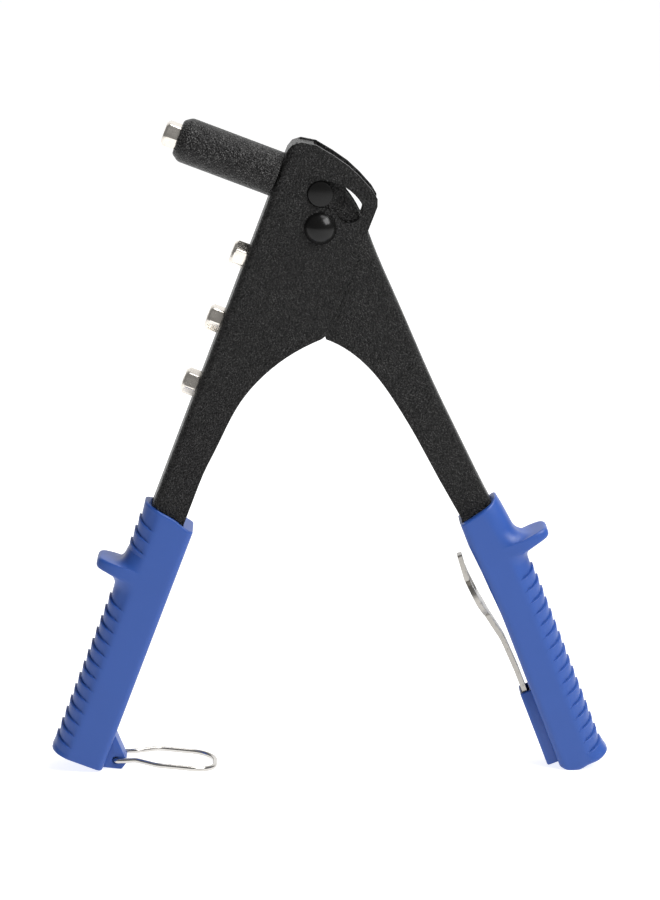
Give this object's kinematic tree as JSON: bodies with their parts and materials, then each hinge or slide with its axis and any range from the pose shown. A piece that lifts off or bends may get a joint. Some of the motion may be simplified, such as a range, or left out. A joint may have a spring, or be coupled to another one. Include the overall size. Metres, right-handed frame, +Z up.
{
  "type": "hand riveter",
  "caption": "Hand riveter with two long handles, a folded steel head, screw-in nosepieces, a pulling jaw set, a wire bail and a stowed wrench.",
  "frame": {"origin": "on the floor under the middle of the open tool's bounding box, where it stands on the ends of its two grips", "axes": "+Z up, +X towards the lever's handle (the barrel points to -X), +Y square to the flat tool, away from the viewer"},
  "size_m": [0.2247, 0.0272, 0.2637],
  "materials": {
    "black_paint": "black pebbled powder coat",
    "lever_paint": "black pebbled powder coat",
    "barrel_paint": "black pebbled powder coat",
    "black_oxide": "smooth black, domes glossy",
    "blue_plastic": "satin moulded blue",
    "nickel": "nickel plated, bright",
    "wire_chrome": "bright plated wire",
    "plated_strip": "zinc plated, dull",
    "tool_steel": "ground steel",
    "spring_steel": "drawn wire"
  },
  "bodies": {
    "frame": {"frame": "black_paint", "nose_block": "black_paint", "barrel": "barrel_paint", "fulcrum_rivet": "black_oxide", "return_spring": "spring_steel", "grip_left": "blue_plastic"},
    "lever": {"lever": "lever_paint", "drive_pin": "black_oxide", "grip_right": "blue_plastic"},
    "puller": {"pull_rod": "tool_steel", "jaw_case": "tool_steel", "jaw_case_locknut": "tool_steel", "jaw_spring": "spring_steel"},
    "upper_jaw": {"jaw_upper": "tool_steel"},
    "lower_jaw": {"jaw_lower": "tool_steel"},
    "pusher": {"jaw_pusher": "tool_steel"},
    "bail": {"bail": "wire_chrome"},
    "wrench": {"wrench": "plated_strip"},
    "fitted_nosepiece": {"nosepiece_fitted": "nickel"},
    "spare_nosepiece_1": {"nosepiece_spare_1": "nickel"},
    "spare_nosepiece_2": {"nosepiece_spare_2": "nickel"},
    "spare_nosepiece_3": {"nosepiece_spare_3": "nickel"}
  },
  "joints": [
    {"name": "lever_pivot", "type": "hinge", "parent": "frame", "child": "lever", "pos_m": [-0.0033, 0, 0.2211], "axis": [0, 1, 0], "range_deg": [0, 41], "stiffness_Nm_per_rad": 0.25, "springref_deg": -34.38},
    {"name": "pull", "type": "slide", "parent": "frame", "child": "puller", "axis": [0.9345, 0, -0.3559], "range_m": [0, 0.0097], "deforming": ["return_spring"]},
    {"name": "upper_jaw_slide", "type": "slide", "parent": "puller", "child": "upper_jaw", "axis": [-0.9787, 0, 0.2053], "range_m": [0, 0.00208]},
    {"name": "lower_jaw_slide", "type": "slide", "parent": "puller", "child": "lower_jaw", "axis": [-0.8673, 0, 0.4977], "range_m": [0, 0.00208]},
    {"name": "pusher_slide", "type": "slide", "parent": "puller", "child": "pusher", "axis": [-0.9345, 0, 0.3559], "range_m": [0, 0.00205], "deforming": ["jaw_spring"]},
    {"name": "bail_swing", "type": "hinge", "parent": "frame", "child": "bail", "pos_m": [-0.08622, 0, 0.00367], "axis": [0, 1, 0], "range_deg": [0, 91.32]},
    {"name": "wrench_draw", "type": "slide", "parent": "lever", "child": "wrench", "axis": [-0.3584, 0, 0.9336], "range_m": [0, 0.028]},
    {"name": "fitted_nosepiece_unscrew", "type": "slide", "parent": "frame", "child": "fitted_nosepiece", "axis": [-0.9345, 0, 0.3559], "range_m": [0, 0.008]},
    {"name": "spare_nosepiece_1_unscrew", "type": "slide", "parent": "frame", "child": "spare_nosepiece_1", "axis": [-0.9345, 0, 0.3559], "range_m": [0, 0.008]},
    {"name": "spare_nosepiece_2_unscrew", "type": "slide", "parent": "frame", "child": "spare_nosepiece_2", "axis": [-0.9345, 0, 0.3559], "range_m": [0, 0.008]},
    {"name": "spare_nosepiece_3_unscrew", "type": "slide", "parent": "frame", "child": "spare_nosepiece_3", "axis": [-0.9345, 0, 0.3559], "range_m": [0, 0.008]}
  ],
  "couplings": [
    {"joint": "pull", "follows": "lever_pivot", "m_per_rad": 0.01341},
    {"joint": "upper_jaw_slide", "follows": "lever_pivot", "m_per_rad": 0.0028298},
    {"joint": "lower_jaw_slide", "follows": "lever_pivot", "m_per_rad": 0.0028298},
    {"joint": "pusher_slide", "follows": "lever_pivot", "m_per_rad": 0.0027949},
    {"joint": "bail_swing", "follows": "lever_pivot", "ratio": 2.22}
  ]
}
